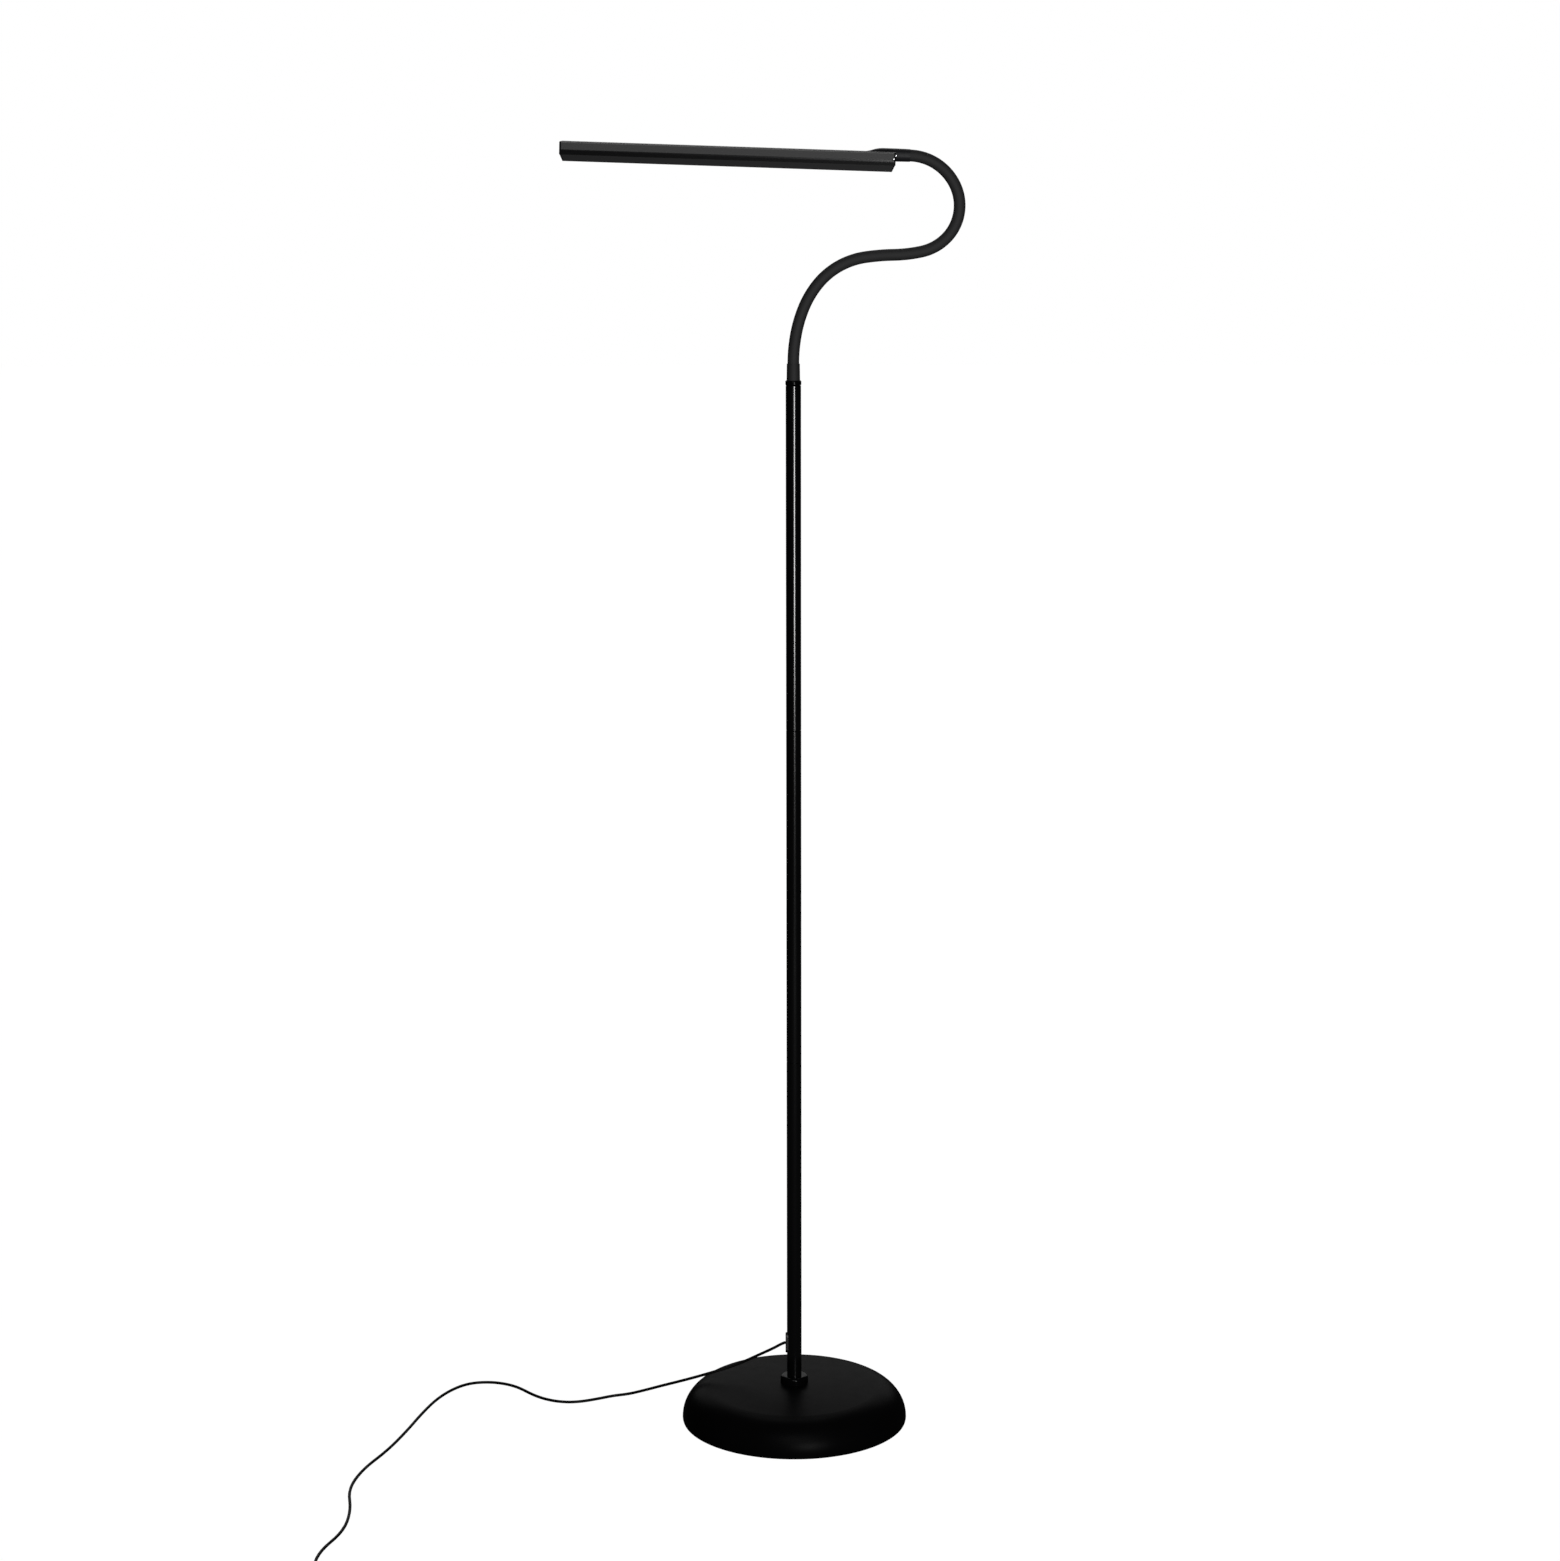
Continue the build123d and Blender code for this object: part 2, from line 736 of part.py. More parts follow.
def make_lights():
    with BuildPart() as heat_spreader:
        block(strip_middle, 0, spreader_low, strip_length, spreader_width, spreader_thickness)
    finish("heat_spreader", heat_spreader)

    with BuildPart() as led_board:
        block(strip_middle, 0, board_low, strip_length - 4, board_width, board_thickness)
    finish("led_board", led_board)

    with BuildPart() as leds:
        with BuildSketch(head_at(strip_middle, 0, board_low - led_height)):
            with GridLocations(led_spacing, 0, led_count, 1):
                Rectangle(led_length, led_width)
        extrude(amount=led_height)
    finish("leds", leds)

    with BuildPart() as control_board:
        middle = control_start + control_length / 2
        block(middle, 0, rib_low, control_length, control_width, control_thickness)
        block(
            control_start + 1.0 + terminal_length / 2,
            0,
            control_top,
            terminal_length,
            control_width / 2,
            ceiling - control_top - seat,
        )
        post(touch_place, 0, control_top, touch_radius / 2, ceiling - control_top)
        block(middle + 10, 0, control_top, 9.0, 6.0, 1.4)
        block(middle + 19, 2.5, control_top, 3.0, 3.0, 1.0)
    finish("control_board", control_board)


# ---- cord ---------------------------------------------------------------------------------------
# The lead leaves the grommet, sinks over the base to the floor, runs across it in slow bends, lies
# in a neat flat coil of two layers, and ends in a small plug.
coil_outer_radius = coil_inner_radius + coil_quarters * coil_pitch / 4
coil_entry = Vector(-449, -392, cord_rest)
grommet_face = -pole_radius - grommet_proud
cord_points = [
    (grommet_face, 0, grommet_height),
    (grommet_face - 4, 0, grommet_height),
    (-21, 4, 74.5),
    (-36, 10, 65.5),
    (-60, 16, 51.8),
    (-92, 17, 41.3),
    (-117, 27, 30.5),
    (-139, 40, 20),
    (-157, 52, 10.5),
    (-174, 58, 4),
    (-190, 60, cord_rest),
    (-206, 51, cord_rest),
    (-223, 43, cord_rest),
    (-239, 41, cord_rest),
    (-257, 47, cord_rest),
    (-274, 61, cord_rest),
    (-293, 86, cord_rest),
    (-311, 97, cord_rest),
    (-328, 100, cord_rest),
    (-345, 96, cord_rest),
    (-360, 81, cord_rest),
    (-375, 52, cord_rest),
    (-387, 9, cord_rest),
    (-398, -41, cord_rest),
    (-412, -92, cord_rest),
    (-431, -140, cord_rest),
    (-439, -190, cord_rest),
    (-430, -241, cord_rest),
    (-431, -292, cord_rest),
    (-449, -340, cord_rest),
    coil_entry,
]


def cord_route(points):
    """Straight runs joined by arcs, each as wide as the shorter of its two runs allows."""
    corners = [Vector(*point) if isinstance(point, tuple) else point for point in points]
    radii = []
    for before, corner, after in zip(corners, corners[1:], corners[2:]):
        arriving, leaving = corner - before, after - corner
        turn = radians(arriving.get_angle(leaving))
        radii.append(0.45 * min(arriving.length, leaving.length) / tan(turn / 2))
    with BuildLine() as route:
        FilletPolyline(*corners, radius=radii)
    return route


def biarc(start, heading, end, end_heading):
    """Two arcs from one point and heading to another."""
    across = end - start
    both = heading + end_heading
    apart = 2 * (1 - heading.dot(end_heading))
    reach = (sqrt(across.dot(both) ** 2 + apart * across.dot(across)) - across.dot(both)) / apart
    middle = (start + end) * 0.5 + (heading - end_heading) * (reach / 2)
    first = TangentArc(start, middle, tangent=heading)
    TangentArc(middle, end, tangent=first % 1)


def coil_route():
    """In along the lower layer, up in a half turn, and out along the upper layer."""
    layer = [coil_inner_radius + (count + 1) * coil_pitch / 4 for count in range(coil_quarters)]
    climb_slope = 1.5 * coil_rise / (2 * coil_inner_radius * radians(90))
    place, heading = coil_entry, Vector(0, -1, 0)
    with BuildLine() as route:
        Line(place, place + heading * 2 * cord_radius)
        place += heading * 2 * cord_radius
        for radius in layer[::-1]:
            left = heading.rotate(Axis.Z, 90)
            end = place + (heading + left) * radius
            TangentArc(place, end, tangent=heading)
            place, heading = end, left
        for number in range(2):
            flat = Vector(heading.X, heading.Y, 0).normalized()
            left = flat.rotate(Axis.Z, 90)
            end = place + (flat + left) * coil_inner_radius + Vector(0, 0, coil_rise / 2)
            end_heading = (left + Vector(0, 0, climb_slope * (1 - number))).normalized()
            biarc(place, heading, end, end_heading)
            place, heading = end, end_heading
        for radius in layer:
            left = heading.rotate(Axis.Z, 90)
            end = place + (heading + left) * radius
            TangentArc(place, end, tangent=heading)
            place, heading = end, left
        Line(place, place + heading * 2 * cord_radius)
    return route


def make_cord():
    slot_plane = Plane((0, 0, grommet_height), x_dir=(0, 0, 1), z_dir=(-1, 0, 0))
    with BuildPart() as cord_grommet:
        with BuildSketch(slot_plane.offset(tube_bore * 0.8)):
            SlotOverall(grommet_length, grommet_width)
        extrude(amount=pole_radius + grommet_proud - tube_bore * 0.8)
        fillet(cord_grommet.faces().sort_by(Axis.X)[0].edges(), 1.0)
        with BuildSketch(Plane.XY.offset(grommet_height - grommet_length)):
            Circle(pole_radius + fit)
        extrude(amount=2 * grommet_length, mode=Mode.SUBTRACT)
        with BuildSketch(slot_plane.offset(tube_bore - 2)):
            SlotOverall(grommet_plug_length, grommet_plug_width)
        extrude(amount=3.5)
        with BuildSketch(slot_plane):
            Circle(cord_radius + fit)
        extrude(amount=2 * pole_radius, mode=Mode.SUBTRACT)
    finish("cord_grommet", cord_grommet)

    with BuildPart() as pole_lead:
        with BuildLine() as route:
            Line((grommet_face, 0, grommet_height), (-4.5, 0, grommet_height))
            TangentArc((-4.5, 0, grommet_height), (0, 0, grommet_height + 4.5), tangent=(1, 0, 0))
            Line((0, 0, grommet_height + 4.5), cuff_floor)
        sweep_round(route, cord_radius)
    finish("pole_lead", pole_lead)

    with BuildPart() as cord:
        sweep_round(cord_route(cord_points), cord_radius)
    finish("cord", cord)

    coil = coil_route()
    with BuildPart() as cord_coil:
        sweep_round(coil, cord_radius)
    finish("cord_coil", cord_coil)

    tail_plane = Plane(coil.line @ 1, x_dir=(1, 0, 0), z_dir=(0, -1, 0))
    with BuildPart() as cord_tail:
        with BuildSketch(tail_plane):
            Circle(cord_radius)
        extrude(amount=coil_tail)
    finish("cord_tail", cord_tail)
    make_plug(tail_plane.offset(coil_tail))


def make_plug(back):
    """The plug, from the end of its strain relief onwards. It lies flat on the floor."""
    body_back = back.offset(plug_relief_length)
    body_front = body_back.offset(plug_length)
    with BuildPart() as plug_relief:
        with BuildSketch(back):
            Circle(cord_radius + 0.5)
        with BuildSketch(body_back):
            Circle(plug_relief_radius + 0.8)
        loft()
    finish("plug_relief", plug_relief)

    with BuildPart() as plug_body:
        with BuildSketch(body_back):
            RectangleRounded(plug_width, plug_thickness, 2.0)
        extrude(amount=plug_length)
        fillet(plug_body.faces().sort_by(Axis.Y)[-1].edges(), 1.5)
    finish("plug_body", plug_body)

    with BuildPart() as plug_shell:
        with BuildSketch(body_front):
            Rectangle(shell_width, shell_thickness)
            Rectangle(shell_width - 2 * shell_wall, shell_thickness - 2 * shell_wall, mode=Mode.SUBTRACT)
        extrude(amount=shell_length)
        with BuildSketch(body_front):
            Rectangle(shell_width - 2 * shell_wall, shell_thickness - 2 * shell_wall)
        extrude(amount=1.0)
    finish("plug_shell", plug_shell)

    tongue_place = (0, (shell_thickness - tongue_thickness) / 2 - shell_wall)
    with BuildPart() as plug_tongue:
        with BuildSketch(body_front.offset(1.0)):
            with Locations(tongue_place):
                Rectangle(shell_width - 2 * shell_wall - 2 * fit, tongue_thickness)
        extrude(amount=shell_length - 1.5)
    finish("plug_tongue", plug_tongue)


if __name__ == "__main__":
    make_base()
    make_foot()
    make_pole()
    make_neck()
    make_socket()
    make_casing()
    make_frame()
    make_lights()
    make_cord()
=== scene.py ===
"""A black gooseneck reading floor lamp, dressed for its photograph.

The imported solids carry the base, the pole and the head, and get their paints and plastics here. The
soft sleeve of the neck and the lead on the floor are made again as smooth surfaces, and two tiny
bright pins are added where the neck meets the head. All lengths are in metres, +Z is up, the origin
is on the floor under the pole and the front is -Y.
"""
import json
from math import cos, pi, radians

import bpy
import numpy as np
from mathutils import Matrix, Vector


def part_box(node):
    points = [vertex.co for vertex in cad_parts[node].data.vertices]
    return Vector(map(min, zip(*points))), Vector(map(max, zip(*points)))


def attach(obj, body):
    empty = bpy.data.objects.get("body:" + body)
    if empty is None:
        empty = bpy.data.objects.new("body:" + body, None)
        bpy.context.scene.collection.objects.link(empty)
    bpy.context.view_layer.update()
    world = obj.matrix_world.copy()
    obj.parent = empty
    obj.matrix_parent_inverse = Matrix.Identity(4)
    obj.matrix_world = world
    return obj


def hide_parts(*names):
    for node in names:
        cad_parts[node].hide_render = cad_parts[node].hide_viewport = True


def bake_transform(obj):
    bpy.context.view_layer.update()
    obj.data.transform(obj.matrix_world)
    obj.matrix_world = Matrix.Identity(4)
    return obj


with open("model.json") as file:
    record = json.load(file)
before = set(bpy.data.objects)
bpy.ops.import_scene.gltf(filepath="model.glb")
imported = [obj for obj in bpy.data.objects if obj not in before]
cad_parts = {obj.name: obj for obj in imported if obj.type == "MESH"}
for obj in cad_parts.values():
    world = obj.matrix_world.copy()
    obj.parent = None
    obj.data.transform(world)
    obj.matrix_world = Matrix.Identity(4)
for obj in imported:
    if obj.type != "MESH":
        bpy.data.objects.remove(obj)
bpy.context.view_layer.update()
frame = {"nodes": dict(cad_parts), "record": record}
nodes = frame["nodes"]

# ---- camera -------------------------------------------------------------------------------------
camera_place = (-0.0137, -3.42, 1.35)
camera_dip = 11.2             # degrees under the horizon
camera_lens = 80.56           # on a sensor 36 mm wide
camera_roll = -0.1            # degrees


def set_camera():
    camera = bpy.data.cameras.new("camera")
    camera.lens = camera_lens
    camera.sensor_width = 36.0
    camera.clip_end = 50.0
    holder = bpy.data.objects.new("camera", camera)
    holder.location = camera_place
    dipped = Matrix.Rotation(radians(90 - camera_dip), 3, "X")
    holder.rotation_euler = (dipped @ Matrix.Rotation(radians(camera_roll), 3, "Z")).to_euler()
    bpy.context.scene.collection.objects.link(holder)
    bpy.context.scene.camera = holder


set_camera()


# ---- materials ----------------------------------------------------------------------------------
finishes = {}


class Amount:
    """One output of a finish's nodes, so that its maths can be written as an expression."""

    def __init__(self, finish, socket):
        self.finish, self.socket = finish, socket

    def maths(self, operation, other):
        return self.finish.node("ShaderNodeMath", {"operation": operation}, {0: self, 1: other})

    def __add__(self, other):
        return self.maths("ADD", other)

    def __mul__(self, other):
        return self.maths("MULTIPLY", other)

    __radd__ = __add__
    __rmul__ = __mul__


class Finish:
    """A material with one Principled shader, whose plain settings are given by name. It is kept in
    finishes under its own name."""

    def __init__(self, name, color, roughness, **settings):
        self.material = finishes[name] = bpy.data.materials.new(name)
        self.material.use_nodes = True
        self.tree = self.material.node_tree
        self.shader = self.tree.nodes["Principled BSDF"]
        self.shader.inputs["Base Color"].default_value = (*color, 1)
        self.shader.inputs["Roughness"].default_value = roughness
        for setting, value in settings.items():
            self.shader.inputs[setting.replace("_", " ")].default_value = value
        self.color, self.roughness = color, roughness

    def node(self, kind, settings=None, inputs=None, output=0):
        """Adds a node, sets it up, and fills its inputs with numbers, colours or other outputs."""
        made = self.tree.nodes.new(kind)
        for setting, value in (settings or {}).items():
            setattr(made, setting, value)
        for place, value in (inputs or {}).items():
            self.feed(made.inputs[place], value)
        return Amount(self, made.outputs[output])

    def feed(self, socket, value):
        if isinstance(value, Amount):
            self.tree.links.new(value.socket, socket)
        else:
            socket.default_value = value

    def place(self, stretch=(1, 1, 1)):
        """Object coordinates in metres, stretched."""
        coordinates = self.node("ShaderNodeTexCoord", output="Object")
        return self.node("ShaderNodeMapping", inputs={"Vector": coordinates, "Scale": stretch})

    def noise(self, size, detail=3.0, stretch=(1, 1, 1)):
        """Noise from 0 to 1 with lumps of about that size in metres."""
        return self.node(
            "ShaderNodeTexNoise",
            inputs={"Vector": self.place(stretch), "Scale": 1 / size, "Detail": detail},
            output="Fac",
        )

    def tint(self, amount, darker, lighter):
        """The colour goes from darker to lighter times itself as the amount goes from 0 to 1."""
        low = [channel * darker for channel in self.color] + [1]
        high = [channel * lighter for channel in self.color] + [1]
        colors = {"Factor": amount, 6: low, 7: high}
        mixed = self.node("ShaderNodeMix", {"data_type": "RGBA"}, colors, output=2)
        self.feed(self.shader.inputs["Base Color"], mixed)

    def vary_roughness(self, amount, spread):
        """The roughness goes from spread below its own value to spread above it."""
        self.feed(self.shader.inputs["Roughness"], amount * (2 * spread) + (self.roughness - spread))

    def relief(self, height, depth):
        """Raises the surface by the height, from 0 to 1, times the depth in metres."""
        inputs = {"Height": height, "Distance": depth, "Strength": 1.0}
        self.feed(self.shader.inputs["Normal"], self.node("ShaderNodeBump", inputs=inputs))


def powder_paint(name, color, roughness, grain=0.0009, depth=0.00002, **settings):
    """Satin powder coat: a fine even pebble, with faint cloudy changes in its gloss."""
    finish = Finish(name, color, roughness, **settings)
    finish.tint(finish.noise(0.03), 0.85, 1.15)
    finish.vary_roughness(finish.noise(0.012), 0.04)
    finish.relief(finish.noise(grain, 2.0), depth)


def gloss_paint(name, color, roughness, depth=0.000002, **settings):
    """Sprayed gloss paint: a slow faint ripple, and hardly any change in its roughness."""
    finish = Finish(name, color, roughness, **settings)
    finish.tint(finish.noise(0.02), 0.9, 1.1)
    finish.vary_roughness(finish.noise(0.04, 1.0), 0.004)
    finish.relief(finish.noise(0.005, 1.0), depth)


def soft_rubber(name, color, roughness, grain=0.0006, depth=0.00002, **settings):
    """Extruded soft rubber: matt, with a fine tooth and faint rubbed patches."""
    finish = Finish(name, color, roughness, **settings)
    patches = finish.noise(0.018)
    finish.tint(patches, 0.85, 1.15)
    finish.vary_roughness(patches, 0.05)
    finish.relief(finish.noise(grain), depth)


def drawn_metal(name, color, roughness, stretch=(1, 1, 1)):
    """Bare metal with a fine grain, drawn out into lines along the axis of the smallest stretch."""
    finish = Finish(name, color, roughness, Metallic=1.0)
    lines = finish.noise(0.0008, stretch=stretch)
    finish.tint(lines, 0.85, 1.1)
    finish.vary_roughness(lines, 0.08)
    finish.relief(lines, 0.000008)


def moulded_plastic(name, color, roughness, depth=0.000015, **settings):
    """Moulded plastic: spark-eroded texture and a faint flow pattern."""
    finish = Finish(name, color, roughness, **settings)
    finish.tint(finish.noise(0.01), 0.93, 1.06)
    finish.vary_roughness(finish.noise(0.003), 0.03)
    finish.relief(finish.noise(0.0005, 2.0), depth)


# The photograph's blacks are very deep. Each finish that shines less than its like has its own
# specular level.
deep_black = (0.0012, 0.0012, 0.0013)
smooth_mould = 0.000005       # relief of the plastics on the neck and the head
along_head, along_plug = (0.05, 1, 1), (1, 0.05, 1)

powder_paint("base_paint", deep_black, 0.38, Specular_IOR_Level=0.015)
gloss_paint("pole_paint", deep_black, 0.15, Specular_IOR_Level=0.4)
gloss_paint("gloss_black", deep_black, 0.14, Specular_IOR_Level=0.05)
moulded_plastic("cuff_black", (0.010, 0.010, 0.0104), 0.7, smooth_mould, Specular_IOR_Level=0.22)
soft_rubber("grommet_black", (0.003, 0.003, 0.003), 0.5)
soft_rubber("sleeve_black", (0.0128, 0.0128, 0.0132), 0.72, depth=0.000006, Specular_IOR_Level=0.22)
moulded_plastic("socket_grey", (0.008, 0.0082, 0.0095), 0.5, smooth_mould, Specular_IOR_Level=0.15)
gloss_paint("casing_grey", (0.0016, 0.0016, 0.0018), 0.17, depth=0.0000008)
moulded_plastic("frame_grey", (0.0072, 0.0072, 0.0076), 0.55, smooth_mould, Specular_IOR_Level=0.17)
gloss_paint("touch_black", (0.004, 0.004, 0.004), 0.15)
moulded_plastic("opal", (0.82, 0.82, 0.8), 0.45)
drawn_metal("plain_aluminium", (0.8, 0.8, 0.81), 0.35, along_head)
moulded_plastic("board_white", (0.75, 0.75, 0.74), 0.4)
moulded_plastic("board_green", (0.02, 0.13, 0.05), 0.35)
moulded_plastic("led_yellow", (0.8, 0.6, 0.12), 0.3)
soft_rubber("wire_red", (0.4, 0.02, 0.02), 0.4)
powder_paint("cast_weight", (0.07, 0.07, 0.072), 0.65, grain=0.002, depth=0.0001)
drawn_metal("plain_steel", (0.55, 0.55, 0.56), 0.35)
drawn_metal("link_steel", (0.6, 0.6, 0.6), 0.3)
drawn_metal("screw_steel", (0.6, 0.6, 0.61), 0.28)
soft_rubber("foot_pad", (0.02, 0.02, 0.02), 0.8, grain=0.002, depth=0.0001)
soft_rubber("cord_black", (0.0022, 0.0022, 0.0022), 0.5, Specular_IOR_Level=0.08)
moulded_plastic("plug_black", (0.012, 0.012, 0.012), 0.45)
drawn_metal("plug_metal", (0.82, 0.82, 0.83), 0.22, along_plug)
moulded_plastic("tongue_white", (0.7, 0.7, 0.7), 0.4)


def dress_solids():
    """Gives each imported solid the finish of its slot."""
    for part in frame["record"]["subparts"]:
        mesh = nodes[part["node"]].data
        mesh.materials.clear()
        mesh.materials.append(finishes[part["material_slot"]])


dress_solids()


# ---- surfaces -----------------------------------------------------------------------------------
round_sides = 48              # of every tube and pin
sharp_rim = radians(50)       # edges that turn more than this stay sharp


def new_piece(name, points, faces, slot):
    """A smooth mesh with sharp rims that takes a slot's finish."""
    mesh = bpy.data.meshes.new(name)
    mesh.from_pydata(points.tolist(), [], faces.tolist())
    mesh.shade_smooth()
    mesh.set_sharp_from_angle(angle=sharp_rim)
    mesh.materials.append(finishes[slot])
    piece = bpy.data.objects.new(name, mesh)
    bpy.context.scene.collection.objects.link(piece)
    return piece


def round_way():
    """The way round a ring, one angle for each of its points."""
    return np.linspace(0, 2 * pi, round_sides, endpoint=False)


def ring_faces(rings, closed=False):
    """Quads from each ring of points to the one after it, and from the last to the first if closed."""
    bands = rings if closed else rings - 1
    ring, side = np.meshgrid(np.arange(bands), np.arange(round_sides), indexing="ij")
    here, after = ring * round_sides, (ring + 1) % rings * round_sides
    beside = (side + 1) % round_sides
    corners = [here + side, here + beside, after + beside, after + side]
    return np.stack(corners, axis=-1).reshape(-1, 4)


# ---- neck ---------------------------------------------------------------------------------------
neck_pitch = 0.0273           # length of neck that bends round each of its joints
neck_turns = (-10, -12, -17, -22, -21, -7, 11, 33, 36, 35, 31, 31)  # degrees, from the pole up
sleeve_radius = 0.0057
sleeve_bore = 0.0041          # radius of the sleeve's hole
socket_seat = 0.00885         # how deep the sleeve goes into the head
lead_radius = 0.0015
sleeve_steps = 22             # along each length of the sleeve


def arc_line(start, heading, length, turn, steps):
    """Points and headings along an arc in the XZ plane: the heading grows evenly by turn, and each
    point is the start plus the length times the mean of all the headings before it."""
    share = np.linspace(0, 1, steps + 1)
    half = radians(turn) * share / 2
    middle = radians(heading) + half
    headings = radians(heading) + 2 * half
    chord = length * share * np.sinc(half / pi)
    x, z = start[0] + chord * np.cos(middle), start[2] + chord * np.sin(middle)
    return np.stack([x, 0 * share, z], axis=1), headings


def tube_points(points, headings, radius):
    """Rings round a line in the XZ plane: each point plus the radius times the cosine of the way
    round along the line's side and times its sine along Y."""
    way = round_way()[None, :, None]
    side = np.stack([np.sin(headings), 0 * headings, -np.cos(headings)], axis=1)
    out = side[:, None] * np.cos(way) + np.array([0, 1, 0]) * np.sin(way)
    return points[:, None] + radius * out


def sleeve_part(name, start, heading, length, turn=0.0):
    """One length of the sleeve, as a thick wall closed at both ends, with the lead inside it."""
    points, headings = arc_line(start, heading, length, turn, sleeve_steps)
    rings = sleeve_steps + 1
    outside = tube_points(points, headings, sleeve_radius)
    inside = tube_points(points, headings, sleeve_bore)[::-1]
    wall = np.concatenate([outside, inside]).reshape(-1, 3)
    lead = tube_points(points, headings, lead_radius).reshape(-1, 3)
    faces = np.concatenate([ring_faces(2 * rings, closed=True), ring_faces(rings) + len(wall)])
    piece = new_piece(name, np.concatenate([wall, lead]), faces, "sleeve_black")
    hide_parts("neck_sleeve", "neck_lead")
    return piece, points[-1]


def make_sleeve():
    """A straight foot in the cuff, one bending length for each pitch of the neck, and a straight top
    in the head."""
    cuff_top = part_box("neck_cuff")[1].z
    sleeve_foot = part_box("neck_sleeve")[0].z
    start, heading = np.array([0, 0, cuff_top]), 90.0
    foot, _ = sleeve_part("sleeve_foot", (0, 0, sleeve_foot), heading, cuff_top - sleeve_foot)
    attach(foot, "stand")
    for number, turn in enumerate(neck_turns):
        piece, end = sleeve_part(f"sleeve_{number + 1:02d}", start, heading, neck_pitch, turn)
        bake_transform(piece)
        start, heading = end, heading + turn
    top, _ = sleeve_part("sleeve_top", start, heading, socket_seat)
    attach(top, "head")


make_sleeve()

# ---- pins at the joint of neck and head ---------------------------------------------------------
pin_radius = 0.0008
pin_rim = 0.0002              # rounding of the pin's rim
pin_middle = 0.000001         # radius at which the flat face ends
# Each pin: how far along the head from its mouth, how far above the head's line, and the distances
# from the middle of the head at which it starts and ends, towards the front.
pin_spots = [(0.0139, -0.0006, 0.0050, 0.0065), (0.0160, -0.0035, 0.0165, 0.0180)]
head_mouth = (0.11279, 1.28674)  # X and Z where the neck goes into the head
head_heading = radians(178)


def pin_surface(along, above, inner, outer):
    """A round pin across the head: a profile of radii against the way out, turned once round, with its
    rim rounded and its flat face drawn in to the middle."""
    rim_way = np.linspace(0, pi / 2, 5)
    radii = np.concatenate([[pin_radius], pin_radius - pin_rim + pin_rim * np.cos(rim_way), [pin_middle]])
    reach = np.concatenate([[inner], outer - pin_rim + pin_rim * np.sin(rim_way), [outer]])
    forward = along + radii[:, None] * np.cos(round_way())
    upward = above + radii[:, None] * np.sin(round_way())
    ahead = np.array([np.cos(head_heading), np.sin(head_heading)])
    up = np.array([ahead[1], -ahead[0]])
    place = np.array(head_mouth) + forward[..., None] * ahead + upward[..., None] * up
    y = np.broadcast_to(-reach[:, None], forward.shape)
    return np.stack([place[..., 0], y, place[..., 1]], axis=-1)


def make_pins():
    surfaces = np.stack([pin_surface(*spot) for spot in pin_spots])
    count, rings = surfaces.shape[:2]
    faces = [ring_faces(rings) + number * rings * round_sides for number in range(count)]
    piece = new_piece("head_pins", surfaces.reshape(-1, 3), np.concatenate(faces), "screw_steel")
    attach(piece, "head")


make_pins()

# ---- lead on the floor --------------------------------------------------------------------------
lead_rest = lead_radius       # height of the lead's middle where it lies on the floor
coil_entry = (-0.449, -0.395)
coil_inner_radius = 0.0099
coil_pitch = 0.0035           # from one turn of a layer to the next
coil_rise = 0.00345           # from the lower layer to the upper one
coil_quarters = 15            # quarter turns in each of the two layers
points_per_turn = 12
tail_joint = 0.004            # from the coil's end of the tail to the first point in it
# The lead's way from the grommet over the base and the floor to the coil, a point every few centimetres.
lead_points = [
    (-0.009, 0, 0.0824),
    (-0.0125, 0, 0.0813),
    (-0.021, 0.004, 0.0748),
    (-0.036, 0.010, 0.0655),
    (-0.060, 0.016, 0.0518),
    (-0.092, 0.017, 0.0413),
    (-0.117, 0.027, 0.0305),
    (-0.139, 0.040, 0.020),
    (-0.157, 0.052, 0.0105),
    (-0.174, 0.058, 0.004),
    (-0.190, 0.060, lead_rest),
    (-0.206, 0.051, lead_rest),
    (-0.223, 0.043, lead_rest),
    (-0.239, 0.041, lead_rest),
    (-0.257, 0.047, lead_rest),
    (-0.274, 0.061, lead_rest),
    (-0.293, 0.086, lead_rest),
    (-0.311, 0.097, lead_rest),
    (-0.328, 0.100, lead_rest),
    (-0.345, 0.096, lead_rest),
    (-0.360, 0.081, lead_rest),
    (-0.375, 0.052, lead_rest),
    (-0.387, 0.009, lead_rest),
    (-0.398, -0.041, lead_rest),
    (-0.412, -0.092, lead_rest),
    (-0.431, -0.140, lead_rest),
    (-0.439, -0.190, lead_rest),
    (-0.430, -0.241, lead_rest),
    (-0.431, -0.292, lead_rest),
    (-0.449, -0.340, lead_rest),
    (-0.449, -0.385, lead_rest),
]


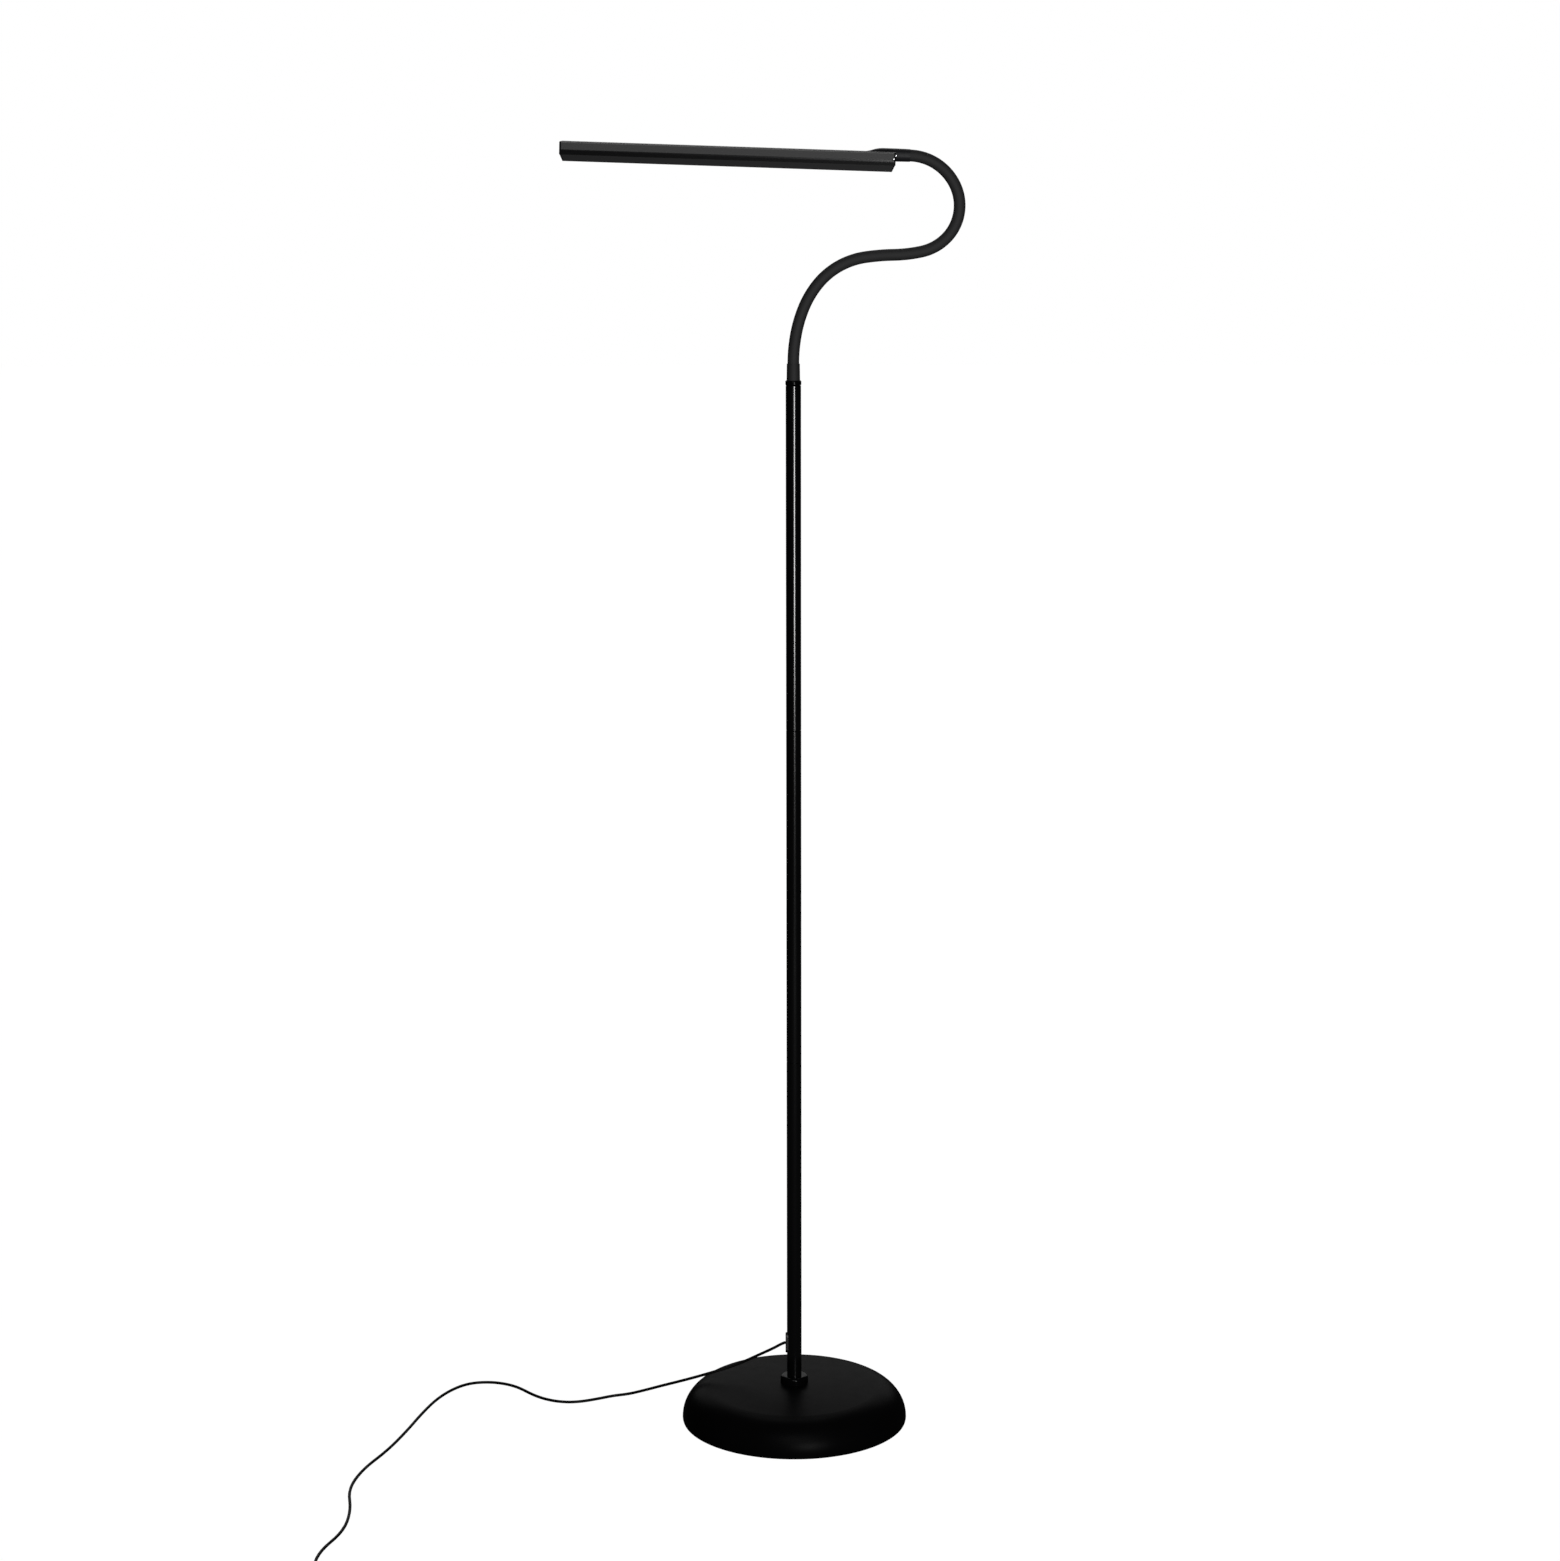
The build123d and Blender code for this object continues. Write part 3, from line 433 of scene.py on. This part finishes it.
def coil_points():
    """The coil's control points: the way round grows evenly, the radius falls by the pitch a turn on
    the lower layer, rests in the half turn of the climb and grows by the pitch a turn on the upper
    one. Each is pushed out by the part of the radius that the spline cuts off between its points."""
    layer_way = coil_quarters * pi / 2
    turns = (coil_quarters + 1) // 2
    way = np.linspace(0, 2 * layer_way + pi, turns * points_per_turn + 1)
    from_climb = np.abs(way - layer_way - pi / 2)
    steady = np.maximum(from_climb - pi / 2, 0)
    bend = np.minimum(from_climb, pi / 2) ** 2 / pi
    radius = coil_inner_radius + coil_pitch / (2 * pi) * (steady + bend)
    radius = radius / (0.5 + 0.5 * cos(2 * pi / points_per_turn)) ** 0.5
    climbed = np.clip((way - layer_way) / pi, 0, 1)
    height = lead_rest + coil_rise * climbed**2 * (3 - 2 * climbed)
    outer = coil_inner_radius + coil_pitch / (2 * pi) * (layer_way + pi / 4)
    middle = (coil_entry[0] + outer, coil_entry[1] - coil_pitch / 8)
    x = middle[0] - radius * np.cos(way)
    y = middle[1] - radius * np.sin(way)
    return np.stack([x, y, height], axis=1).tolist()


def make_lead():
    """One spline through the lead's points, the coil and the straight tail that ends in the plug."""
    tail_low, tail_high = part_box("cord_tail")
    tail_x, tail_z = (tail_low.x + tail_high.x) / 2, (tail_low.z + tail_high.z) / 2
    tail = [(tail_x, tail_high.y - tail_joint, tail_z), (tail_x, tail_low.y, tail_z)]
    route = lead_points + coil_points() + tail
    curve = bpy.data.curves.new("floor_lead", "CURVE")
    curve.dimensions = "3D"
    curve.resolution_u = 5
    curve.bevel_depth = lead_radius
    curve.bevel_resolution = 4
    curve.use_fill_caps = True
    spline = curve.splines.new("NURBS")
    spline.points.add(len(route) - 1)
    spline.points.foreach_set("co", [value for point in route for value in (*point, 1.0)])
    spline.order_u = 3
    spline.use_endpoint_u = True
    curve.materials.append(finishes["cord_black"])
    lead = bpy.data.objects.new("floor_lead", curve)
    bpy.context.scene.collection.objects.link(lead)
    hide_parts("cord", "cord_coil", "cord_tail")
    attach(lead, "stand")


make_lead()

# ---- floor, world and lamps ---------------------------------------------------------------------
floor_reach = 14.0
floor_drop = 0.0002           # below the base's pad, so that the two don't lie in one plane
floor_shade = 0.06            # grey of the floor as the object sees it
far_shade = 0.015             # grey of the surroundings as the object sees them
white_share = 0.93            # of the floor as the camera sees it; the rest is its own shading
floor_white = 1.08            # brighter than white, to make up for the dark rest


def make_floor():
    """A wide floor. The object sees it as dark grey and the camera as white, with a share of its own
    shading for the object's soft shadow."""
    mesh = bpy.data.meshes.new("floor")
    ends = (-floor_reach, floor_reach)
    mesh.from_pydata([(x, y, 0) for y in ends for x in ends], [], [(0, 1, 3, 2)])
    floor = bpy.data.objects.new("floor", mesh)
    floor.location.z = -floor_drop
    bpy.context.scene.collection.objects.link(floor)
    finish = Finish("floor", (floor_shade,) * 3, 0.9, Specular_IOR_Level=0.0)
    white = finish.node("ShaderNodeEmission", inputs={"Color": (1, 1, 1, 1), "Strength": floor_white})
    rays = finish.node("ShaderNodeLightPath", output="Is Camera Ray")
    shaded = Amount(finish, finish.shader.outputs[0])
    mixed = finish.node("ShaderNodeMixShader", inputs={0: rays * white_share, 1: shaded, 2: white})
    finish.tree.links.new(mixed.socket, finish.tree.nodes["Material Output"].inputs["Surface"])
    mesh.materials.append(finish.material)


def make_world():
    """White where the camera looks past the object, and a dim even grey round it."""
    world = bpy.data.worlds.new("studio")
    world.use_nodes = True
    bpy.context.scene.world = world
    tree = world.node_tree
    background = tree.nodes["Background"]
    background.inputs["Strength"].default_value = 1.0
    rays = tree.nodes.new("ShaderNodeLightPath")
    mix = tree.nodes.new("ShaderNodeMix")
    mix.data_type = "RGBA"
    mix.inputs[6].default_value = (far_shade, far_shade, far_shade, 1)
    mix.inputs[7].default_value = (1, 1, 1, 1)
    tree.links.new(rays.outputs["Is Camera Ray"], mix.inputs["Factor"])
    tree.links.new(mix.outputs[2], background.inputs["Color"])


def add_lamp(name, place, aim, width, height, watts):
    """A soft box that faces the point it is aimed at and that the camera doesn't see."""
    lamp = bpy.data.lights.new(name, "AREA")
    lamp.shape = "RECTANGLE"
    lamp.size, lamp.size_y, lamp.energy = width, height, watts
    holder = bpy.data.objects.new(name, lamp)
    holder.location = place
    holder.rotation_euler = (Vector(aim) - Vector(place)).to_track_quat("-Z", "Y").to_euler()
    holder.visible_camera = False
    bpy.context.scene.collection.objects.link(holder)


bpy.context.scene.view_settings.view_transform = "Standard"
make_floor()
make_world()
# In front: the general light, two boxes that make the bright streak on the pole, and a faint one for
# the head's side. Behind: two that light the tops of the base and the head.
add_lamp("key_box", (0.1, -2.4, 2.2), (0, 0, 0.9), 1.6, 1.2, 29)
add_lamp("strip_box", (0.60, -2.28, 0.70), (0, 0, 0.70), 0.45, 0.58, 20)
add_lamp("low_strip_box", (0.60, -2.28, 0.61), (0, 0, 0.61), 0.45, 0.22, 17)
add_lamp("head_box", (-0.15, -2.35, 1.24), (-0.15, 0, 1.24), 1.1, 0.5, 1.8)
add_lamp("rear_box", (-0.1, 1.9, 3.2), (0, 0, 0.7), 1.6, 1.2, 16)
add_lamp("back_box", (0, 30, 12.6), (0, 0, 0.1), 34, 16.8, 1400)
